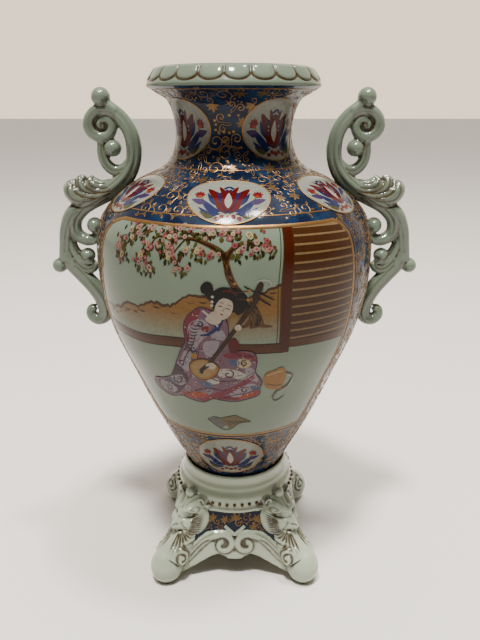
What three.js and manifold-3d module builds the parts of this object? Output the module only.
// A porcelain vase with two scroll handles, and the lion-footed stand that it rests in.
// Millimetres, +Z up. The painted front looks towards -Y, and the origin is on the ground under the middle.

import * as THREE from 'three';
import { mergeVertices } from 'three/addons/utils/BufferGeometryUtils.js';
import Module from 'manifold-3d';

const wasm = await Module();
wasm.setup();

// Walls, and the gap between the two pieces
const WALL = 5;
const FLOOR = 6;
const FIT_GAP = 0.3;

// Vase heights
const RIM_TOP = 400;
const VASE_FOOT = 80;
const FOOT_RING_DEPTH = 3;

// Vase outline from the collar up, each place as [radius, height]
const FOOT_OUTLINE = [[31, VASE_FOOT + FOOT_RING_DEPTH], [33, VASE_FOOT], [38.4, VASE_FOOT], [38.8, 84]];
const BODY_CURVE = [
  [41.3, 91], [54, 115.5], [69.3, 147], [82.5, 179], [95.4, 211], [102.3, 239],
  [104.5, 267], [101.8, 291], [92, 307], [75, 320.5], [54.3, 330.5],
];
const NECK_CURVE = [
  [54.3, 330.5], [47, 337.4], [42.9, 347.4], [41.8, 357], [43.6, 368], [48.1, 378], [56.1, 383.4],
  [60.9, 386.1],
];
const RIM_NOSE = [[62.2, 387.4], [61.9, 389.4]];
const RIM_SLOPE = [[59.6, 393.6], [56.8, 397.4]];
const RIM_EDGE = [53.6, RIM_TOP];
const MOUTH_RADIUS = 49.5;
const BODY_ROWS = 10;
const NECK_ROWS = 5;
const INSIDE_BODY_ROWS = 7;
const INSIDE_NECK_ROWS = 4;

// Petal border around the rim
const PETALS = 22;
const PETAL_GROOVE = 1.3;
const FIRST_GROOVE = -5.5;
const INSIDE_SEGMENTS = 16;

// Handle bars in the handle's own flat plane, each place as [out from the axis, up, half thickness]
const HANDLE_DEPTH = 1.25;
const MAIN_STEM = [
  [92, 375, 4], [82.5, 366, 5.3], [76, 355.5, 5.7], [74, 344, 5.8], [75.8, 333, 6], [82, 323, 6.6],
  [92, 314.5, 6.8], [104, 307.6, 6.5], [115, 301, 6.2], [122, 291.5, 5.5], [122, 281.5, 5], [115, 276, 4.8],
  [107, 277, 4.3], [103.5, 281.5, 3.5],
];
const OUTER_STEM = [
  [114, 303, 5.5], [123.5, 296, 6.2], [129, 284, 5.6], [131.4, 271, 5], [133.6, 259.5, 4.2],
];
const LOWER_STEM = [
  [131, 268, 4.6], [128.3, 257.5, 5.6], [119.6, 247.5, 6.2], [111.6, 238, 6.4], [105.6, 228.5, 6.8],
  [103.4, 219.5, 6.4], [105.4, 213, 5.6], [111, 210.8, 5], [115.8, 214.4, 4.3], [115.2, 219.6, 3.6],
  [111.6, 220.5, 2.8],
];
const TOP_VOLUTE = [
  [84, 366.5, 3.6], [92, 371, 4], [100.2, 370.3, 4.5], [105.5, 364, 4.6], [104.6, 356.4, 4.7],
  [98.6, 352.7, 4.6], [91.8, 354, 4.3], [89, 360, 3.8], [92.5, 364.8, 3.3], [98, 364.2, 2.8], [98.8, 360, 2.4],
];
const NECK_CURL = [
  [97.4, 349.5, 3.4], [97.6, 342, 4], [95.8, 334.4, 4.4], [90.4, 329, 4.6], [83.5, 329, 4.4], [78, 334, 4],
];
const HANGING_CURL = [[127.5, 277, 3.4], [123.8, 266, 4.1], [117.5, 258.6, 4.2], [110.4, 260.4, 3.4]];
const HANGING_LEAF = [[126, 262, 4], [118.6, 254.5, 5], [111.8, 253.6, 4.4], [109, 258, 2.8]];
const PALM_LOBES = [
  [[96, 313, 5], [109, 308.5, 6.4], [118.5, 309.6, 7.6], [122, 316, 7], [118.5, 321.4, 1.6]],
  [[94, 316, 4.5], [105, 313.6, 5.2], [113, 316, 5.8], [115, 321, 4.6], [111.5, 324.4, 1.4]],
  [[92, 318.5, 4], [100.5, 317.2, 4.6], [107, 320, 4.8], [106, 324.6, 1.4]],
];
const HANDLE_BALLS = [
  [96.1, 380.2, 6.9], [97.2, 361, 4], [89.6, 344.5, 6.5], [107.4, 287.2, 6.2], [114.8, 263.5, 6],
  [137.2, 255.5, 5.9],
];

// Stand collar outline from the deck's edge up and over, each place as [radius, height]
const BAND_RADIUS = 49.3;
const COLLAR_OUTLINE = [
  [44, 58], [50.4, 59.2], [50.6, 62.6], [BAND_RADIUS, 64], [BAND_RADIUS, 70.2], [48.4, 73], [46, 75.6],
  [45.2, 78.8], [43, 82], [42.9, 86.6], [42.3, 88.6],
];
const COLLAR_SEGMENTS = 24;
const DECK_TOP = VASE_FOOT - FIT_GAP;
const HOLLOW_TOP = DECK_TOP - FLOOR;
const HOLLOW_SEGMENTS = 16;

// Stand body: a four-sided block with leaning faces, hollow below
const FACE_TOP_HEIGHT = 60;
const FACE_TOP_REACH = 45;
const FACE_LEAN = 0.24;
const FACE_BOTTOM_HEIGHT = 4;
const STAND_WALL = 7;
const ARCH_CURVE = [[0, 17], [5.5, 17.6], [13, 21.4], [21, 18.6], [34, 11.4], [45, 5.4], [51, -2]];
const ARCH_STEPS = 12;

// Legs and feet in the plane of each corner, as [out from the axis, up, half thickness]
const LEG = [[50, 60, 7], [54, 50, 8.6], [59.5, 38, 9.8], [67, 27, 10], [77, 17, 11]];
const LEG_WIDTH = 1.3;
const TOE = { out: 79.5, up: 13.6, reach: 14, height: 15.6, halfWidth: 13 };
const FOOT_SPIRAL = { out: 75, up: 25.6, radius: 6.4, side: 10.6, angles: [80, 480], thickness: [2.6, 2] };

// Lion's mask on each leg: an egg-shaped shell that looks outwards, leaning with the leg
const MASK = { out: 47, up: 50, bulge: 17, back: 5, halfWidth: 17.5, halfHeight: 20, lean: 0.28 };
const MASK_SIDES = 16;
const MASK_ROWS = 13;

// Its features: how far each stands out, then its height over the middle and spread, then the same sideways
const FACE = {
  muzzle: [8.5, 0.5, 5, 0, 5.4],
  nose: [3.4, 5, 3.4, 0, 3],
  brow: [3.2, 11.2, 2.4, 5, 4.6],
  eye: [-3, 7.4, 2, 6.2, 3.2],
  cheek: [2.6, 0, 4.5, 9, 4],
  mouth: [-2.6, -2.8, 1.3, 0, 5],
  chin: [4.2, -5.6, 2.6, 0, 3.8],
  ear: [4, 17, 3.6, 10, 3],
  beard: [4, -13, 6, 0, 6],
};
const MANE_LOCKS = 8;
const MANE_RELIEF = 1.8;

// Scrolls on each face as [along, up from the face's top edge, half thickness], then their curled ends
const SCROLL_LEAD = [[41, -44, 2.2], [30, -34, 2.4], [20, -24, 2.6]];
const SCROLL_CURL = { centre: [8.6, -30.5], radii: [9.2, 2.4], angles: [62, 400], thickness: [2.6, 1.9] };

// Border around the collar
const BORDER_HEIGHT = 67.5;
const BORDER_CURL = { narrow: 2.8, wide: 4.2, depth: 3.4, out: 0.6, angle: 32 };
const CORNER_BALL = { radius: 4.2, out: 2, up: 3.5 };

const CORNERS = 4;
const QUARTER = Math.PI / 2;

// A closed solid from a geometry, with its shared corners merged and its flat slivers at a pole dropped
function solidOf(geometry) {
  const bare = geometry.clone();
  bare.deleteAttribute('normal');
  bare.deleteAttribute('uv');
  const merged = mergeVertices(bare, 1e-4);
  const corners = merged.index.array;
  const kept = [];
  for (let i = 0; i < corners.length; i += 3) {
    const [a, b, c] = [corners[i], corners[i + 1], corners[i + 2]];
    if (a !== b && b !== c && c !== a) {
      kept.push(a, b, c);
    }
  }
  return new wasm.Manifold(new wasm.Mesh({
    numProp: 3,
    vertProperties: new Float32Array(merged.attributes.position.array),
    triVerts: new Uint32Array(kept),
  }));
}

// Joins a list of geometries into one solid
function joined(geometries) {
  return geometries.map(solidOf).reduce((whole, piece) => whole.add(piece));
}

// The geometries moved by a matrix
function moved(geometries, matrix) {
  return geometries.map((geometry) => geometry.clone().applyMatrix4(matrix));
}

// A round shape about Z from an outline of [radius, height]
function turned(outline, segments, startDegrees = 0) {
  const places = outline.map(([radius, height]) => new THREE.Vector2(radius, height));
  const start = THREE.MathUtils.degToRad(startDegrees);
  return new THREE.LatheGeometry(places, segments, start, 2 * Math.PI).rotateX(QUARTER);
}

// Evenly spaced places on a smooth curve through an outline, moved inwards by a wall
function along(outline, rows, wall = 0) {
  const curve = new THREE.SplineCurve(outline.map(([radius, height]) => new THREE.Vector2(radius, height)));
  const places = [];
  for (let row = 0; row <= rows; row++) {
    const place = curve.getPointAt(row / rows);
    const way = curve.getTangentAt(row / rows);
    places.push([place.x - way.y * wall, place.y + way.x * wall]);
  }
  return places;
}

// A bar of oval section on a flat curve in the XY plane, through places given as [x, y, half thickness]
function bar(stations, sides, steps, depth = 1) {
  const curve = new THREE.CatmullRomCurve3(stations.map((station) => new THREE.Vector3(...station)));
  const shape = new THREE.CylinderGeometry(1, 1, 1, sides, steps);
  const places = shape.attributes.position;
  for (let i = 0; i < places.count; i++) {
    const t = places.getY(i) + 0.5;
    const middle = curve.getPoint(t);
    const way = curve.getTangent(t);
    const run = Math.hypot(way.x, way.y);
    const across = places.getX(i) * middle.z;
    const x = middle.x + way.y / run * across;
    const y = middle.y - way.x / run * across;
    places.setXYZ(i, x, y, places.getZ(i) * middle.z * depth);
  }
  return shape;
}

// A flat spiral's places as [x, y, half thickness], winding inwards
function spiral(centre, radii, angles, thickness, count) {
  const places = [];
  for (let i = 0; i <= count; i++) {
    const share = i / count;
    const angle = THREE.MathUtils.degToRad(THREE.MathUtils.lerp(angles[0], angles[1], share));
    const radius = THREE.MathUtils.lerp(radii[0], radii[1], share);
    const half = THREE.MathUtils.lerp(thickness[0], thickness[1], share);
    places.push([centre[0] + radius * Math.cos(angle), centre[1] + radius * Math.sin(angle), half]);
  }
  return places;
}

// An egg-shaped solid with its own radius along each axis
function egg(centre, radii, sides = 8, rows = 6) {
  return new THREE.SphereGeometry(1, sides, rows).scale(...radii).translate(...centre);
}

// Carries a flat shape's x outwards at an angle about Z and its y upwards
function cornerPlane(angle) {
  const out = new THREE.Vector3(Math.cos(angle), Math.sin(angle), 0);
  const up = new THREE.Vector3(0, 0, 1);
  return new THREE.Matrix4().makeBasis(out, up, out.clone().cross(up));
}

// Carries a flat shape's x along one face of the stand, its y up the lean and its z out of the face
function facePlane(angle) {
  const across = new THREE.Vector3(1, 0, 0);
  const up = new THREE.Vector3(0, FACE_LEAN, 1).normalize();
  const plane = new THREE.Matrix4().makeBasis(across, up, across.clone().cross(up));
  plane.setPosition(0, -FACE_TOP_REACH, FACE_TOP_HEIGHT);
  return new THREE.Matrix4().makeRotationZ(angle).multiply(plane);
}

// The vase's outer form, filled, with a groove pulled in between the petals of the rim
function vaseForm() {
  const outline = [
    [0, VASE_FOOT + FOOT_RING_DEPTH], ...FOOT_OUTLINE, ...along(BODY_CURVE, BODY_ROWS),
    ...along(NECK_CURVE, NECK_ROWS).slice(1), ...RIM_NOSE, ...RIM_SLOPE, RIM_EDGE, [0, RIM_TOP],
  ];
  const form = turned(outline, 2 * PETALS, FIRST_GROOVE);
  const slopeLow = RIM_SLOPE[0][1];
  const slopeHigh = RIM_SLOPE[RIM_SLOPE.length - 1][1];
  const places = form.attributes.position;
  for (let i = 0; i < places.count; i++) {
    const height = places.getZ(i);
    if (height < slopeLow - 0.1 || height > slopeHigh + 0.1) {
      continue;
    }
    const radius = Math.hypot(places.getX(i), places.getY(i));
    const angle = Math.atan2(places.getX(i), -places.getY(i)) - THREE.MathUtils.degToRad(FIRST_GROOVE);
    const share = 1 - PETAL_GROOVE * Math.max(0, Math.cos(angle * PETALS)) / radius;
    places.setXY(i, places.getX(i) * share, places.getY(i) * share);
  }
  return form;
}

// The hollow inside the vase, open through the mouth
function vaseHollow() {
  const body = along(BODY_CURVE, INSIDE_BODY_ROWS, WALL);
  const neck = along(NECK_CURVE, INSIDE_NECK_ROWS, WALL);
  const floor = VASE_FOOT + FOOT_RING_DEPTH + FLOOR;
  const inside = body.filter(([, height]) => height > floor + 1);
  const outline = [
    [0, floor], [inside[0][0] - 2, floor], ...inside, ...neck,
    [MOUTH_RADIUS, RIM_TOP - 4], [MOUTH_RADIUS, RIM_TOP + 1], [0, RIM_TOP + 1],
  ];
  return turned(outline, INSIDE_SEGMENTS);
}

// One scroll handle, flat in the XY plane
function handleShapes() {
  const shapes = [
    bar(MAIN_STEM, 6, 17, HANDLE_DEPTH),
    bar(OUTER_STEM, 6, 4, HANDLE_DEPTH),
    bar(LOWER_STEM, 6, 12, HANDLE_DEPTH),
    bar(TOP_VOLUTE, 6, 11, HANDLE_DEPTH),
    bar(NECK_CURL, 6, 6, HANDLE_DEPTH),
    bar(HANGING_CURL, 5, 4, HANDLE_DEPTH),
    bar(HANGING_LEAF, 4, 3, HANDLE_DEPTH),
  ];
  for (const lobe of PALM_LOBES) {
    shapes.push(bar(lobe, 6, 4, HANDLE_DEPTH));
  }
  for (const [out, up, radius] of HANDLE_BALLS) {
    shapes.push(egg([out, up, 0], [radius, radius, radius * HANDLE_DEPTH], 6, 4));
  }
  return shapes;
}

function vase() {
  const handles = handleShapes();
  return solidOf(vaseForm())
    .subtract(solidOf(vaseHollow()))
    .add(joined(moved(handles, cornerPlane(0))))
    .add(joined(moved(handles, cornerPlane(Math.PI))));
}

// A block with leaning faces all round, its reach measured at the height where the faces start
function leaningBlock(sides, reach, top, bottom) {
  const cornerAt = (height) => (reach + (FACE_TOP_HEIGHT - height) * FACE_LEAN) / Math.cos(Math.PI / sides);
  const block = new THREE.CylinderGeometry(cornerAt(top), cornerAt(bottom), top - bottom, sides, 1);
  return block.rotateX(QUARTER).rotateZ(Math.PI / sides).translate(0, 0, (top + bottom) / 2);
}

// The passage under one pair of faces, its top edge waved around the drop in the middle
function archPassage(angle) {
  const curve = new THREE.SplineCurve(ARCH_CURVE.map(([across, up]) => new THREE.Vector2(across, up)));
  const half = curve.getPoints(ARCH_STEPS);
  const other = half.slice(1).reverse().map((place) => new THREE.Vector2(-place.x, place.y));
  const outline = new THREE.Shape(other.concat(half));
  const length = 4 * FACE_TOP_REACH;
  const passage = new THREE.ExtrudeGeometry(outline, { depth: length, bevelEnabled: false });
  return passage.translate(0, 0, -length / 2).rotateX(QUARTER).rotateZ(angle);
}

// How far the face stands out of its plain shell, at a place measured up and sideways from its middle
function faceRelief(up, side) {
  let relief = 0;
  for (const [push, atUp, upSpread, atSide, sideSpread] of Object.values(FACE)) {
    const high = (up - atUp) / upSpread;
    const wide = (Math.abs(side) - atSide) / sideSpread;
    relief += push * Math.exp(-high * high - wide * wide);
  }
  return relief;
}

// A lion's face in its mane, looking out along X, with y up
function lionMask() {
  const mask = new THREE.SphereGeometry(1, MASK_SIDES, MASK_ROWS).rotateZ(-QUARTER);
  const places = mask.attributes.position;
  for (let i = 0; i < places.count; i++) {
    const facing = places.getX(i);
    const up = places.getY(i) * MASK.halfHeight;
    const side = places.getZ(i) * MASK.halfWidth;
    const front = Math.max(0, facing);
    const shell = facing > 0 ? facing * MASK.bulge : facing * MASK.back;
    const out = MASK.out + shell + Math.min(1, 3 * front) * faceRelief(up, side) - MASK.lean * up;
    const locks = MANE_RELIEF * (1 - front) * Math.cos(MANE_LOCKS * Math.atan2(side, up));
    const share = 1 + locks / MASK.halfHeight;
    places.setXYZ(i, out, MASK.up + up * share, side * share);
  }
  return mask;
}

// One leg with its toe, its mask and the spirals on both sides of the foot
function legShapes() {
  const toe = egg([TOE.out, TOE.up, 0], [TOE.reach, TOE.height, TOE.halfWidth], 8, 6);
  const shapes = [bar(LEG, 6, 4, LEG_WIDTH), toe, lionMask()];
  const { out, up, radius, angles, thickness } = FOOT_SPIRAL;
  const places = spiral([out, up], [radius, 1], angles, thickness, 6);
  for (const side of [-1, 1]) {
    shapes.push(bar(places, 4, 6).translate(0, 0, side * FOOT_SPIRAL.side));
  }
  return shapes;
}

// The pair of scrolls on one face
function apronShapes() {
  const { centre, radii, angles, thickness } = SCROLL_CURL;
  const curl = spiral(centre, radii, angles, thickness, 7);
  const shapes = [];
  for (const side of [-1, 1]) {
    const scroll = bar(SCROLL_LEAD.concat(curl), 4, 10);
    shapes.push(side > 0 ? scroll : scroll.rotateY(Math.PI));
  }
  return shapes;
}

// Curls and corner balls around the collar
function borderShapes() {
  const shapes = [];
  for (let side = 0; side < CORNERS; side++) {
    const facing = side * QUARTER;
    for (const turn of [-BORDER_CURL.angle, BORDER_CURL.angle]) {
      const curl = new THREE.CylinderGeometry(BORDER_CURL.narrow, BORDER_CURL.wide, BORDER_CURL.depth, 5);
      const angle = facing + THREE.MathUtils.degToRad(turn);
      curl.rotateZ(-QUARTER).translate(BAND_RADIUS + BORDER_CURL.out, 0, BORDER_HEIGHT);
      shapes.push(curl.rotateZ(angle));
    }
    const middle = [BAND_RADIUS + CORNER_BALL.out, 0, BORDER_HEIGHT + CORNER_BALL.up];
    const ball = egg(middle, new Array(3).fill(CORNER_BALL.radius), 6, 4);
    shapes.push(ball.rotateZ(facing + QUARTER / 2));
  }
  return shapes;
}

// The four leaning walls between the legs, hollow and open below, with a passage under each
function standWalls() {
  const block = leaningBlock(CORNERS, FACE_TOP_REACH, FACE_TOP_HEIGHT, FACE_BOTTOM_HEIGHT);
  const hollow = leaningBlock(2 * CORNERS, FACE_TOP_REACH - STAND_WALL, FACE_TOP_HEIGHT + 1, -1);
  return solidOf(block).subtract(joined([hollow, archPassage(0), archPassage(QUARTER)]));
}

// The round collar with its deck, the well above it and the hollow below
function standCollar() {
  const bottom = COLLAR_OUTLINE[0][1];
  const top = COLLAR_OUTLINE.at(-1)[1];
  const collar = turned([[0, bottom], ...COLLAR_OUTLINE, [0, top]], COLLAR_SEGMENTS);
  const hollowReach = FACE_TOP_REACH - STAND_WALL;
  const inside = [[0, bottom - 1], [hollowReach, bottom - 1], [hollowReach, HOLLOW_TOP], [0, HOLLOW_TOP]];
  const hollow = turned(inside, HOLLOW_SEGMENTS);
  return solidOf(collar).subtract(joined([hollow, well()]));
}

// The well that the vase's foot goes down into, a fit gap larger than the foot
function well() {
  const footRadius = FOOT_OUTLINE.at(-2)[0] + FIT_GAP;
  const [mouthRadius, mouthHeight] = BODY_CURVE[0];
  const wide = mouthRadius + FIT_GAP;
  const outline = [[0, DECK_TOP], [footRadius, DECK_TOP], [wide, mouthHeight], [0, mouthHeight]];
  return turned(outline, 2 * PETALS, FIRST_GROOVE);
}

function stand() {
  const shapes = borderShapes();
  const legs = legShapes();
  const scrolls = apronShapes();
  for (let corner = 0; corner < CORNERS; corner++) {
    shapes.push(...moved(legs, cornerPlane(corner * QUARTER + QUARTER / 2)));
    shapes.push(...moved(scrolls, facePlane(corner * QUARTER)));
  }
  const ground = new THREE.BoxGeometry(400, 400, 100).translate(0, 0, -50);
  return standWalls().add(standCollar()).add(joined(shapes)).subtract(solidOf(ground));
}

// A named mesh from a finished solid
function piece(name, solid, colour) {
  const mesh = solid.getMesh();
  const geometry = new THREE.BufferGeometry();
  geometry.setAttribute('position', new THREE.BufferAttribute(mesh.vertProperties, 3));
  geometry.setIndex(new THREE.BufferAttribute(mesh.triVerts, 1));
  geometry.computeVertexNormals();
  const material = new THREE.MeshStandardMaterial({ color: colour, roughness: 0.12, metalness: 0 });
  const node = new THREE.Mesh(geometry, material);
  node.name = name;
  return node;
}

const whole = new THREE.Group();
whole.add(piece('vase', vase(), 0xb4bcb0));
whole.add(piece('stand', stand(), 0xb9c2b6));

export default whole;
